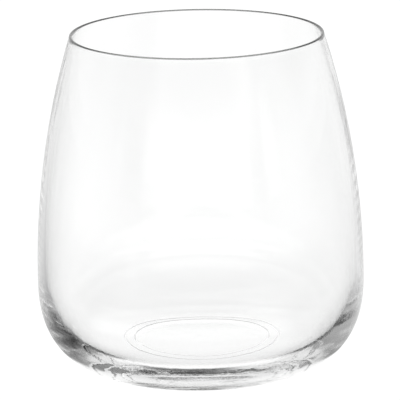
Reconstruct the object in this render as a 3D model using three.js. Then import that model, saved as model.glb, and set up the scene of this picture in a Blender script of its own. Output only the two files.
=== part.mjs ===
// Stemless drinking glass, blown in one piece from clear crystal: a fine rim, a bowl that
// is widest low down, a heavier base and a very shallow hollow under it.
// Millimetres, +Z up, origin at the centre of the ring that the glass stands on.

import * as THREE from 'three';

// Outside of the glass
const HEIGHT = 90; // table to the top of the rim
const MOUTH_DIAMETER = 67; // outside the rim
const BELLY_DIAMETER = 87; // outside, where the glass is widest
const BELLY_HEIGHT = 24; // table to the widest ring
const HEEL_FULLNESS = 2.34; // exponent of the outer curve from belly to foot, 2 is an ellipse

// Foot: a flat ring on the table around a shallow hollow, the punt
const FOOT_DIAMETER = 44; // outer edge of the flat ring
const FOOT_WIDTH = 3; // width of the flat ring
const PUNT_DEPTH = 0.4; // rise of the hollow at the centre
const PUNT_FULLNESS = 7; // exponent of its fall towards the ring, 2 is an even dish

// Thickness of the glass
const RIM_THICKNESS = 0.8;
const BELLY_THICKNESS = 2.1;
const FLOOR_THICKNESS = 5.5; // at the centre, between the floor and the punt

// Inside of the bowl
const FLOOR_DIAMETER = 48; // flat middle of the floor
const BOWL_WIDEST_HEIGHT = 28; // table to the widest ring inside
const BOWL_FULLNESS = 2.5; // exponent of the inner curve from that ring to the floor

// Fineness of the facets
const ROUND_STEPS = 72; // around the axis
const WALL_STEPS = 9; // along each long wall curve
const HEEL_STEPS = 12; // along the outer curve under the belly
const RIM_STEPS = 6; // over the half-round rim
const BOWL_STEPS = 12; // along the inner curve down to the floor
const PUNT_STEPS = 6; // across the hollow under the base

// Radii and heights that follow from the sizes above
const mouthRadius = MOUTH_DIAMETER / 2;
const bellyRadius = BELLY_DIAMETER / 2;
const footRadius = FOOT_DIAMETER / 2;
const puntRadius = footRadius - FOOT_WIDTH;
const rimRadius = RIM_THICKNESS / 2;
const rimHeight = HEIGHT - rimRadius; // centre of the half-round rim
const floorRadius = FLOOR_DIAMETER / 2;
const floorHeight = PUNT_DEPTH + FLOOR_THICKNESS;
const bowlRadius = bellyRadius - BELLY_THICKNESS;

// Points [radius, height] at even steps of a curve, from its start to its end.
function trace(steps, curve) {
  return Array.from({ length: steps + 1 }, (_, i) => curve(i / steps));
}

// The hollow under the base, from the axis out to the flat ring: almost level in the middle,
// then rounding down. The steps get closer towards the ring, where it turns.
function punt() {
  return trace(PUNT_STEPS, (t) => {
    const reach = Math.sin((t * Math.PI) / 2);
    return [puntRadius * reach, PUNT_DEPTH * (1 - reach ** PUNT_FULLNESS)];
  });
}

// A quarter of a superellipse that leaves `low` level and meets `wide` upright.
function quarterCurve(low, wide, fullness, steps) {
  const power = 2 / fullness;
  return trace(steps, (t) => {
    const angle = (t * Math.PI) / 2;
    const r = low.r + (wide.r - low.r) * Math.sin(angle) ** power;
    const z = wide.z - (wide.z - low.z) * Math.cos(angle) ** power;
    return [r, z];
  });
}

// A circular arc that is upright at `wide` and leans in to `top`.
function wallCurve(wide, top, steps) {
  const run = top.z - wide.z;
  const lean = wide.r - top.r;
  const radius = (run ** 2 + lean ** 2) / (2 * lean);
  return trace(steps, (t) => {
    const rise = t * run;
    return [wide.r - radius + Math.sqrt(radius ** 2 - rise ** 2), wide.z + rise];
  });
}

// The fire-polished rim, a half circle from the outer wall over to the inner one.
function rim() {
  return trace(RIM_STEPS, (t) => {
    const angle = t * Math.PI;
    return [mouthRadius - rimRadius + rimRadius * Math.cos(angle), rimHeight + rimRadius * Math.sin(angle)];
  });
}

// Half of the glass cut through its axis, from the middle of the punt round to the floor.
function section() {
  const belly = { r: bellyRadius, z: BELLY_HEIGHT };
  const bowl = { r: bowlRadius, z: BOWL_WIDEST_HEIGHT };
  const outside = [
    ...quarterCurve({ r: footRadius, z: 0 }, belly, HEEL_FULLNESS, HEEL_STEPS),
    ...wallCurve(belly, { r: mouthRadius, z: rimHeight }, WALL_STEPS).slice(1),
  ];
  const inside = [
    [0, floorHeight],
    ...quarterCurve({ r: floorRadius, z: floorHeight }, bowl, BOWL_FULLNESS, BOWL_STEPS),
    ...wallCurve(bowl, { r: mouthRadius - RIM_THICKNESS, z: rimHeight }, WALL_STEPS).slice(1),
  ].reverse();
  return [...punt(), ...outside, ...rim().slice(1, -1), ...inside];
}

// The section turned about the axis, stood up along +Z.
function blownGlass() {
  const points = section().map(([r, z]) => new THREE.Vector2(r, z));
  return new THREE.LatheGeometry(points, ROUND_STEPS).rotateX(Math.PI / 2);
}

const crystal = new THREE.MeshStandardMaterial({
  color: 0xf1f5f4,
  roughness: 0.03,
  metalness: 0,
  transparent: true,
  opacity: 0.35,
});

const tumbler = new THREE.Mesh(blownGlass(), crystal);
tumbler.name = 'tumbler';

const glass = new THREE.Group();
glass.add(tumbler);

export default glass;
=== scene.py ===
# %% [markdown]
# # A clear crystal tumbler
#
# The object is a stemless drinking glass, blown in one piece: a fine rim, a bowl that is widest low
# down, and a thicker floor that stands on a flat ring. Clear glass has no colour of its own to paint.
# All that the eye sees is the studio, bent and mirrored by the two surfaces of the glass, so this lesson
# is mostly about giving those surfaces their true shape, and then about what they have to look at.
#
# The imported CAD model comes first. It is the frame: its size and place don't change.

# %% Load the frame
import math
from collections import namedtuple

import bpy
from mathutils import Matrix, Vector


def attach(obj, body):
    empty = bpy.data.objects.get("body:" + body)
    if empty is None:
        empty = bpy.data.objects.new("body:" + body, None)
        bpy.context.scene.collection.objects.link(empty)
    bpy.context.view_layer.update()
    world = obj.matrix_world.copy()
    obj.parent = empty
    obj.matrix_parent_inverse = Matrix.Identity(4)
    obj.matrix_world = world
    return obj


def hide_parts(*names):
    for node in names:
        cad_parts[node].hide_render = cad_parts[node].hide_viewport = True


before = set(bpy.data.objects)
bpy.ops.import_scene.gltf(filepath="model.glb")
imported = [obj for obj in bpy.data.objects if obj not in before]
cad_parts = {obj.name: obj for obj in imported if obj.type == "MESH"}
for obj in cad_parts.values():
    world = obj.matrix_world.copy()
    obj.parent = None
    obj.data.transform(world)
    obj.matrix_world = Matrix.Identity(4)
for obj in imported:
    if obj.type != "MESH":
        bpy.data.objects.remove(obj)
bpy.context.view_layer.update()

# %% [markdown]
# ## Sizes
#
# A glass is easiest to describe as a half section: the line that a saw cut through the axis would show.
# The sizes are in millimetres, as a glassmaker would note them, and are turned to metres once.

# %% Sizes of the glass
MM = 0.001
HEIGHT = 90 * MM
MOUTH_RADIUS = 33.5 * MM
BELLY_RADIUS, BELLY_HEIGHT = 43.5 * MM, 24 * MM
HEEL_FULLNESS = 2.34
FOOT_RADIUS, FOOT_WIDTH = 22 * MM, 3 * MM
PUNT_DEPTH, PUNT_FULLNESS = 0.4 * MM, 7
GROOVE_RADII, GROOVE_REACH, GROOVE_DEPTH = (18.3 * MM, 21.2 * MM), 0.55 * MM, 0.12 * MM
RIM_THICKNESS, BELLY_THICKNESS, FLOOR_THICKNESS = 0.8 * MM, 2.1 * MM, 5.5 * MM
FLOOR_RADIUS, FLOOR_HEIGHT = 24 * MM, PUNT_DEPTH + FLOOR_THICKNESS
BOWL_RADIUS, BOWL_HEIGHT = BELLY_RADIUS - BELLY_THICKNESS, 28 * MM
BOWL_FULLNESS = 2.5
RIM_RADIUS = RIM_THICKNESS / 2
RIM_HEIGHT = HEIGHT - RIM_RADIUS
print("inside width at the belly, mm:", round(2000 * BOWL_RADIUS, 1))


# %% [markdown]
# ## The half section
#
# Three kinds of curve are enough. The long walls are circular arcs that stand upright at the belly and
# lean in to the rim. The heel outside and the bottom of the bowl inside are quarters of a superellipse,
# an ellipse whose corner can be made fuller or slacker with one exponent. The hollow under the base,
# the punt, is a very shallow dish. A circle could be bevelled into these shapes, but a formula keeps the
# curvature even, and clear glass shows every uneven step as a bright line.

# %% Walls and corners
def steps(count):
    return [i / count for i in range(count + 1)]


def leaning_wall(wide, top, count):
    """From the upright place `wide` (radius, height) up to `top`, on one circle."""
    rise, run = top[1] - wide[1], wide[0] - top[0]
    bend = (rise ** 2 + run ** 2) / (2 * run)
    centre = wide[0] - bend
    return [(centre + math.sqrt(bend ** 2 - (t * rise) ** 2), wide[1] + t * rise) for t in steps(count)]


def rounded_corner(low, wide, fullness, count):
    """From the level place `low` out and up to the upright place `wide`."""
    turn = [t * math.pi / 2 for t in steps(count)]
    return [(low[0] + (wide[0] - low[0]) * math.sin(a) ** (2 / fullness),
             wide[1] - (wide[1] - low[1]) * math.cos(a) ** (2 / fullness)) for a in turn]


def rounded_rim(count):
    """The half circle that the flame leaves on the lip, from the outer wall over to the inner one."""
    middle = MOUTH_RADIUS - RIM_RADIUS
    return [(middle + RIM_RADIUS * math.cos(t * math.pi), RIM_HEIGHT + RIM_RADIUS * math.sin(t * math.pi))
            for t in steps(count)]


half_way = leaning_wall((BELLY_RADIUS, BELLY_HEIGHT), (MOUTH_RADIUS, RIM_HEIGHT), 2)[1]
print("radius and height half way up the outer wall, mm:", [round(v / MM, 1) for v in half_way])


# %% [markdown]
# ## The ring that it stands on
#
# Through the floor the photograph shows a ring drawn with two fine lines. On the real glass such lines
# are the edges of the flat that the base gets when it is ground or pressed level. A texture could draw
# them, but the lines must bend and vanish as the view changes, so they are real grooves, a tenth of a
# millimetre deep. Short steps are kept for the ring, and the smooth hollow inside it has long ones.

# %% The standing base
FINE_START = 17.16 * MM


def groove(away):
    """How deep a fine groove is at the distance `away` from its middle."""
    return GROOVE_DEPTH * (1 + math.cos(math.pi * min(1, abs(away) / GROOVE_REACH))) / 2


def underside(radius):
    """Height of the base above the table: the dished punt, then the flat ring with its two grooves."""
    dish = PUNT_DEPTH * max(0, 1 - (radius / (FOOT_RADIUS - FOOT_WIDTH)) ** PUNT_FULLNESS)
    return dish + sum(groove(radius - middle) for middle in GROOVE_RADII)


def standing_base(count, fine_count):
    """From the axis out to where the heel starts."""
    hollow = [t * FINE_START for t in steps(count)]
    ring = [FINE_START + t * (FOOT_RADIUS - FINE_START) for t in steps(fine_count)][1:]
    return [(radius, underside(radius)) for radius in hollow + ring]


print("height of the hollow's middle, mm:", round(underside(0) / MM, 2))

# %% The whole section
PUNT_STEPS, RING_STEPS, HEEL_STEPS, WALL_STEPS, RIM_STEPS, BOWL_STEPS = 10, 48, 56, 56, 12, 64
belly = (BELLY_RADIUS, BELLY_HEIGHT)
bowl = (BOWL_RADIUS, BOWL_HEIGHT)
outer_lip = (MOUTH_RADIUS, RIM_HEIGHT)
inner_lip = (MOUTH_RADIUS - RIM_THICKNESS, RIM_HEIGHT)
outside = (standing_base(PUNT_STEPS, RING_STEPS)
           + rounded_corner((FOOT_RADIUS, 0), belly, HEEL_FULLNESS, HEEL_STEPS)[1:]
           + leaning_wall(belly, outer_lip, WALL_STEPS)[1:] + rounded_rim(RIM_STEPS)[1:])
inside = (rounded_corner((FLOOR_RADIUS, FLOOR_HEIGHT), bowl, BOWL_FULLNESS, BOWL_STEPS)
          + leaning_wall(bowl, inner_lip, WALL_STEPS)[1:-1])
section = outside + inside[::-1] + [(0, FLOOR_HEIGHT)]
print("points on the half section:", len(section))

# %% [markdown]
# ## Turning the glass
#
# The real glass is turned on a blowpipe while it is soft, so the natural tool is Spin. A small plane is
# merged to one vertex, Extrude walks it along the half section, and the line that it leaves is spun once
# round the axis. Spin closes the circle with a second copy of the first line, and the axis points come
# out many times over, so doubles are merged before the normals are made to agree.

# %% Spin the section
SPIN_STEPS = 256
MERGE_DISTANCE = 0.002 * MM
bpy.ops.object.select_all(action="DESELECT")
bpy.ops.mesh.primitive_plane_add(size=2 * MM)
tumbler = bpy.context.object
tumbler.name = tumbler.data.name = "turned_tumbler"
bpy.ops.object.mode_set(mode="EDIT")
bpy.ops.mesh.merge(type="CENTER")
bpy.ops.transform.translate(value=(section[0][0], 0, section[0][1]))
for (r0, z0), (r1, z1) in zip(section, section[1:]):
    bpy.ops.mesh.extrude_region_move(TRANSFORM_OT_translate={"value": (r1 - r0, 0, z1 - z0)})
bpy.ops.mesh.select_all(action="SELECT")
bpy.ops.mesh.spin(steps=SPIN_STEPS, angle=2 * math.pi, center=(0, 0, 0), axis=(0, 0, 1))
bpy.ops.mesh.select_all(action="SELECT")
bpy.ops.mesh.remove_doubles(threshold=MERGE_DISTANCE)
bpy.ops.mesh.normals_make_consistent(inside=False)
bpy.ops.object.mode_set(mode="OBJECT")
bpy.ops.object.shade_smooth()
print("turned glass:", len(tumbler.data.vertices), "vertices,", len(tumbler.data.polygons), "faces")

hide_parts("tumbler")
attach(tumbler, "root")

# %% [markdown]
# ## Writing shaders as sums
#
# A shader is arithmetic on sockets. A small class lets Python write that arithmetic: adding two sockets
# adds a Math node, and any other node comes from one call that takes its type, settings and inputs.


# %% A socket that can be added and multiplied
class Socket:
    def __init__(self, tree, out):
        self.tree, self.out = tree, out

    def node(self, kind, settings=None, pick=0, **inputs):
        """A new node's output `pick`. An input is named by its label, or i0, i1 and so on by its place."""
        made = self.tree.nodes.new(kind)
        for name, value in (settings or {}).items():
            setattr(made, name, value)
        for name, value in inputs.items():
            key = int(name[1:]) if name[:1] == "i" and name[1:].isdigit() else name.replace("_", " ")
            if isinstance(value, Socket):
                self.tree.links.new(value.out, made.inputs[key])
            else:
                made.inputs[key].default_value = value
        return Socket(self.tree, made.outputs[pick])

    def sum(self, operation, a, b):
        return self.node("ShaderNodeMath", {"operation": operation}, i0=a, i1=b)

    def __add__(self, other):
        return self.sum("ADD", self, other)

    def __radd__(self, other):
        return self.sum("ADD", other, self)

    def __sub__(self, other):
        return self.sum("SUBTRACT", self, other)

    def __rsub__(self, other):
        return self.sum("SUBTRACT", other, self)

    def __mul__(self, other):
        return self.sum("MULTIPLY", self, other)

    def __rmul__(self, other):
        return self.sum("MULTIPLY", other, self)

    def smooth(self, start, end):
        """0 before `start`, 1 after `end`, and a soft step between."""
        return self.node("ShaderNodeMapRange", {"interpolation_type": "SMOOTHSTEP"},
                         i0=self, i1=start, i2=end, i3=0.0, i4=1.0)

    def colour(self, start, end):
        """The colour `start` where this socket is 0, and `end` where it is 1."""
        return self.node("ShaderNodeMix", {"data_type": "RGBA"}, pick=2, i0=self, i6=start, i7=end)

    def parts(self):
        """The x, y and z of this vector."""
        split = self.node("ShaderNodeSeparateXYZ", i0=self).out.node
        return [Socket(self.tree, out) for out in split.outputs]


def blend(start, end, share):
    """`start` where `share` is 0, and `end` where it is 1."""
    return start + (end - start) * share


# %% [markdown]
# ## Crystal
#
# Good crystal is almost colourless and polished by fire, so its detail is very fine: faint streaks where
# the melt was not quite even, a slow waviness around the wall from the turning, and a breath of haze.
# The streaks and waves are a bump of a few hundredths of a millimetre, and the haze is a little
# roughness that comes and goes. The index of refraction and the transmission are the same all over, so
# they are plain numbers on the shader.
#
# Seen from the side, the rim is one even grey line. The bead of glass on the lip bends light from so many
# sides that a clear one sparkles instead, so the last half millimetre is painted grey: painted shade for
# that line, not a colour of the glass.

# %% Patterns in the glass
UPRIGHT_STRETCH = (60, 60, 7)
WAVE_SCALE, STREAK_SCALE, CLOUD_SCALE = 1.0, 5.0, 45.0
WAVE_DETAIL, STREAK_DETAIL, CLOUD_DETAIL = 2.0, 3.0, 4.0
WAVE_SHARE, STREAK_SHARE = 0.85, 0.15
crystal = bpy.data.materials.new("fire_polished_crystal")
crystal.use_nodes = True
tree = crystal.node_tree
place = Socket(tree, tree.nodes.new("ShaderNodeTexCoord").outputs["Object"])
upright = place.node("ShaderNodeMapping", Vector=place, Scale=UPRIGHT_STRETCH)


def noise(vector, scale, detail):
    return vector.node("ShaderNodeTexNoise", {"noise_dimensions": "3D"},
                       Vector=vector, Scale=scale, Detail=detail)


waves = noise(upright, WAVE_SCALE, WAVE_DETAIL)
streaks = noise(upright, STREAK_SCALE, STREAK_DETAIL)
cloud = noise(place, CLOUD_SCALE, CLOUD_DETAIL)
print("pattern nodes:", len(tree.nodes))

# %% The crystal material
BUMP_STRENGTH, BUMP_DISTANCE = 0.06, 2 * MM
HAZE_ROUGHNESS, HAZE_START, HAZE_END = 0.012, 0.5, 0.8
COOL_CLEAR, CLEAR = (0.992, 0.996, 0.994, 1), (1.0, 1.0, 1.0, 1)
LIP_START, LIP_END = HEIGHT - 0.42 * MM, HEIGHT - 0.27 * MM
# painted shade: the grey of the last half millimetre of the lip, standing in for the rim's dark line
LIP_PAINTED_SHADE = (0.12, 0.123, 0.12, 1)
REFRACTION = 1.52
relief = WAVE_SHARE * waves + STREAK_SHARE * streaks
bump = place.node("ShaderNodeBump", Strength=BUMP_STRENGTH, Distance=BUMP_DISTANCE, Height=relief)
haze = HAZE_ROUGHNESS * cloud.smooth(HAZE_START, HAZE_END)
lip = place.parts()[2].smooth(LIP_START, LIP_END)
# the glass's faint random cool tone, with the painted shade on the lip over it
tone_and_lip_shade = lip.colour(cloud.colour(COOL_CLEAR, CLEAR), LIP_PAINTED_SHADE)
shader = tree.nodes["Principled BSDF"]
tree.links.new(bump.out, shader.inputs["Normal"])
tree.links.new(haze.out, shader.inputs["Roughness"])
tree.links.new(tone_and_lip_shade.out, shader.inputs["Base Color"])
shader.inputs["IOR"].default_value = REFRACTION
shader.inputs["Transmission Weight"].default_value = 1.0
tumbler.data.materials.clear()
tumbler.data.materials.append(crystal)
print("crystal nodes:", len(tree.nodes))

# %% [markdown]
# ## A bright field and cards
#
# Glass is photographed against a bright field. Light that the glass only bends arrives from that field, so
# the bowl looks clear. The drawing is in the light that the glass mirrors, once or many times inside its
# wall: there the photographer hangs white and black cards, out of the picture, until the edges read well.
# A Light Path node tells the two kinds apart: its Glossy Depth counts the mirrorings on the way to the eye.
#
# Every card has a compass direction (0 is straight behind the glass, positive to the right), a height in
# degrees above the table, and a glow. Soft edges keep the lines in the glass soft as well. The glass turns
# left and right round: the black flag at the right darkens the left heel, and the grey flag at the left
# the right one. The ceiling in front makes the dark band just above the table, and the two gaps in the
# wall in front are the faint upright stripes in the bowl. A later card hangs in front of an earlier one.

# %% Cards of the studio
FIELD = 1.07
ROOM = 0.35
Card = namedtuple("Card", "azimuth half_width low high soft glow")
CARDS = {
    "pale skirting all round": Card(0, 200, -100, 8, 7, 0.85),
    "white sweep behind": Card(-4, 46, -20, 33, 8, 0.9),
    "white wall in front": Card(180, 60, -20, 12, 5, 1.25),
    "gap in the wall, left": Card(-129, 9, -20, 14, 3, 0.6),
    "gap in the wall, right": Card(136, 6, -20, 14, 3, 0.6),
    "soft box at the upper left": Card(-60, 44, 50, 110, 8, 0.95),
    "black flag at the right": Card(79, 23, 11, 36, 9, 0.0),
    "grey flag at the left": Card(-88, 30, 10, 40, 12, 0.44),
    "black flag at the upper left": Card(-112, 12, 30, 44, 5, 0.05),
    "top light behind": Card(0, 50, 64, 110, 4, 0.85),
    "black ceiling in front": Card(180, 62, 27, 110, 6, 0.03),
}
print("cards:", ", ".join(CARDS))


# %% Directions, and the two kinds of light
TO_DEGREES = 180 / math.pi


def bearing(side, ahead, azimuth):
    """Degrees between the direction (side, ahead) and a compass direction."""
    turned = math.radians(azimuth)
    across = side * math.cos(turned) - ahead * math.sin(turned)
    along = ahead * math.cos(turned) + side * math.sin(turned)
    return side.sum("ABSOLUTE", side.sum("ARCTAN2", across, along), 0.0) * TO_DEGREES


def mirrored_or_field(tree, mirrored):
    """The field for light that was only bent, `mirrored` for light that the glass reflected."""
    depth = Socket(tree, tree.nodes.new("ShaderNodeLightPath").outputs["Glossy Depth"])
    return blend(FIELD, mirrored, depth.sum("GREATER_THAN", depth, 0.5))


# %% The sky of the studio
world = bpy.data.worlds.new("studio")
bpy.context.scene.world = world
world.use_nodes = True
air = world.node_tree
look = Socket(air, air.nodes.new("ShaderNodeTexCoord").outputs["Generated"])
side, ahead, up = look.parts()
lift = look.sum("ARCSINE", up, 0.0) * TO_DEGREES
glow = ROOM
for card in CARDS.values():
    away = bearing(side, ahead, card.azimuth)
    wide = 1 - away.smooth(card.half_width - card.soft, card.half_width + card.soft)
    tall = lift.smooth(card.low - card.soft, card.low + card.soft)
    tall = tall * (1 - lift.smooth(card.high - card.soft, card.high + card.soft))
    glow = blend(glow, card.glow, wide * tall)
air.links.new(mirrored_or_field(air, glow).out, air.nodes["Background"].inputs["Color"])
print("sky nodes:", len(air.nodes))

# %% [markdown]
# ## The light table
#
# The floor glows like the field, so the glass seems to stand in white. Mirrored light sees it as a table
# with zones, from the glass outwards: a white sheet under it with a shade at the front edge, a thin bright
# ring, then a middle zone that is pale behind and dark in front, with one pale strip across the dark, and
# last the far table. The shade and the dark front draw the lines in the base, and the ring parts them.
# The far table dims towards the back corners, which gives the wall its soft grey sides.
#
# A picture could hold these zones, but bearing and distance are all that they need, and a soft step for
# each border. Bearings are in degrees from straight behind, turned a little to make the left side darker.

# %% Zones of the table
NEAR_GLOW, SHADE_GLOW, RING_GLOW, STRIP_GLOW = 1.2, 0.05, 1.15, 0.95
BACK_GLOW, SIDE_GLOW, FRONT_GLOW = 0.85, 0.45, 0.03
FAR_BACK_GLOW, FAR_DIP_GLOW, FAR_SIDE_GLOW = 0.92, 0.55, 0.85
TABLE_AZIMUTH, FRONT_AZIMUTH = 8, -8
SHADE_TURN, SHADE_START = (140, 168), (28.8 * MM, 30.2 * MM)
RING_START, MIDDLE_START, FAR_START = (33.5 * MM, 34.8 * MM), (35.5 * MM, 38.5 * MM), (200 * MM, 350 * MM)
SIDE_TURN, FRONT_TURN = (34, 75), (78, 120)
FAR_DIP_TURN, FAR_SIDE_TURN = (36, 62), (72, 100)
STRIP_TURN, STRIP_START, STRIP_END = (115, 135), (52 * MM, 60 * MM), (95 * MM, 115 * MM)
sheet = bpy.data.materials.new("light_table")
sheet.use_nodes = True
nodes = sheet.node_tree
nodes.nodes.remove(nodes.nodes["Principled BSDF"])
spot = Socket(nodes, nodes.nodes.new("ShaderNodeTexCoord").outputs["Object"])
across_table, along_table, _ = spot.parts()
turn = bearing(across_table, along_table, TABLE_AZIMUTH)
front_turn = bearing(across_table, along_table, FRONT_AZIMUTH)
reach = spot.node("ShaderNodeVectorMath", {"operation": "LENGTH"}, pick="Value", i0=spot)
print("bearing and distance nodes:", len(nodes.nodes))

# %% The glow of the table
seen = blend(NEAR_GLOW, SHADE_GLOW, turn.smooth(*SHADE_TURN) * reach.smooth(*SHADE_START))
seen = blend(seen, RING_GLOW, reach.smooth(*RING_START))
middle = blend(BACK_GLOW, SIDE_GLOW, turn.smooth(*SIDE_TURN))
middle = blend(middle, FRONT_GLOW, front_turn.smooth(*FRONT_TURN))
seen = blend(seen, middle, reach.smooth(*MIDDLE_START))
strip = turn.smooth(*STRIP_TURN) * reach.smooth(*STRIP_START) * (1 - reach.smooth(*STRIP_END))
seen = blend(seen, STRIP_GLOW, strip)
far = blend(FAR_BACK_GLOW, FAR_DIP_GLOW, turn.smooth(*FAR_DIP_TURN))
far = blend(far, FAR_SIDE_GLOW, turn.smooth(*FAR_SIDE_TURN))
seen = blend(seen, far, reach.smooth(*FAR_START))
lamp = spot.node("ShaderNodeEmission", Color=(1, 1, 1, 1), Strength=mirrored_or_field(nodes, seen))
nodes.links.new(lamp.out, nodes.nodes["Material Output"].inputs["Surface"])
print("table nodes:", len(nodes.nodes))

# %% The floor
TABLE_WIDTH = 60000 * MM
TABLE_GAP = 0.03 * MM
bpy.ops.object.select_all(action="DESELECT")
bpy.ops.mesh.primitive_plane_add(size=TABLE_WIDTH, location=(0, 0, -TABLE_GAP))
floor = bpy.context.object
floor.name = floor.data.name = "light_table"
bpy.ops.object.transform_apply(location=True)
floor.data.materials.append(sheet)
print("floor, m:", [round(v) for v in floor.dimensions])

# %% [markdown]
# ## Light that is trapped in the wall
#
# A thin wall of glass leads light along it like a fibre, from one face to the other, hundreds of times.
# With the usual limit on bounces that light is thrown away, and the edges of the glass turn black. A high
# limit costs little here, because only a few rays need it. The plain view transform keeps white white.

# %% Bounces
BOUNCES = 1024
scene = bpy.context.scene
scene.view_settings.view_transform = "Standard"
scene.cycles.max_bounces = BOUNCES
scene.cycles.transmission_bounces = BOUNCES
scene.cycles.glossy_bounces = BOUNCES
print("bounces:", BOUNCES)

# %% [markdown]
# ## The camera
#
# The photograph looks down on the rim by about 14 degrees, with the faintest tilt, and its sides hardly
# draw together, so it was taken from well back. A long lens at that distance keeps the same flat view.

# %% The camera
PITCH, ROLL, DISTANCE = math.radians(14.107), math.radians(-1.025), 870 * MM
SENSOR_WIDTH, FOCAL_LENGTH = 36, 294.86
SHIFT_X, SHIFT_Y = 0.0014, -0.0024
CLIP_START = 10 * MM
camera = bpy.data.objects.new("camera", bpy.data.cameras.new("camera"))
scene.collection.objects.link(camera)
scene.camera = camera
camera.data.sensor_width, camera.data.lens = SENSOR_WIDTH, FOCAL_LENGTH
camera.data.shift_x, camera.data.shift_y = SHIFT_X, SHIFT_Y
camera.data.clip_start = CLIP_START
back = Vector((0, -math.cos(PITCH), math.sin(PITCH)))
camera.location = Vector((0, 0, HEIGHT / 2)) + DISTANCE * back
aim = back.to_track_quat("Z", "Y").to_matrix() @ Matrix.Rotation(ROLL, 3, "Z")
camera.rotation_euler = aim.to_euler()
print("camera, mm:", [round(v / MM) for v in camera.location])
